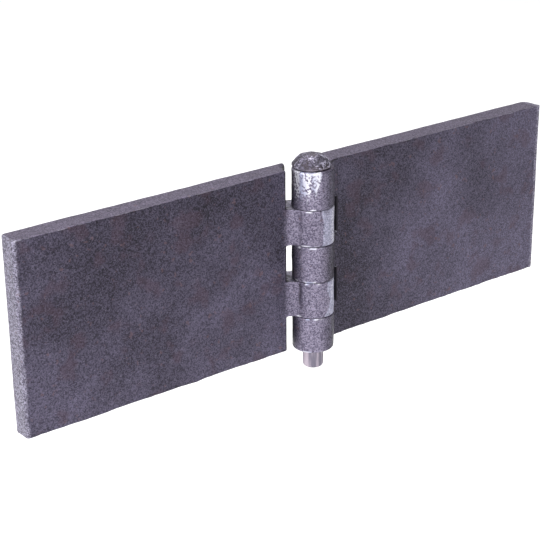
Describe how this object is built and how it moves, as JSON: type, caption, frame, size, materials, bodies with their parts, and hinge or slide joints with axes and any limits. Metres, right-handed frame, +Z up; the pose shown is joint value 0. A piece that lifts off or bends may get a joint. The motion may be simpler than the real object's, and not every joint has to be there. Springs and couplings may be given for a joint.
{
  "type": "weld-on leaf hinge",
  "caption": "Heavy plain steel hinge with two long flat weld-on leaves, interleaved eyes and a loose domed-head pin, laid open flat.",
  "frame": {"origin": "on the back (weld) face of the fixed leaf, at mid height, 61 mm from the pin axis, half way along the leaf's reach", "axes": "+X along the fixed leaf away from the pin, +Y out of the back faces into what the hinge is welded to, +Z up along the pin towards its head"},
  "size_m": [0.244, 0.0186, 0.0838],
  "materials": {
    "leaf_steel": "hot-rolled steel, dark mill scale on the flats, rubbed brighter on the eyes and edges",
    "pin_steel": "drawn steel, worn bright, hammered dome"
  },
  "bodies": {
    "fixed_leaf": {"fixed_leaf": "leaf_steel"},
    "moving_leaf": {"moving_leaf": "leaf_steel"},
    "hinge_pin": {"hinge_pin": "pin_steel"}
  },
  "joints": [
    {"name": "leaf_swing", "type": "hinge", "parent": "fixed_leaf", "child": "moving_leaf", "pos_m": [-0.061, -0.0108, 0], "axis": [0, 0, 1], "range_deg": [-47, 180]},
    {"name": "pin_lift", "type": "slide", "parent": "fixed_leaf", "child": "hinge_pin", "axis": [0, 0, 1], "range_m": [0, 0.085]}
  ]
}
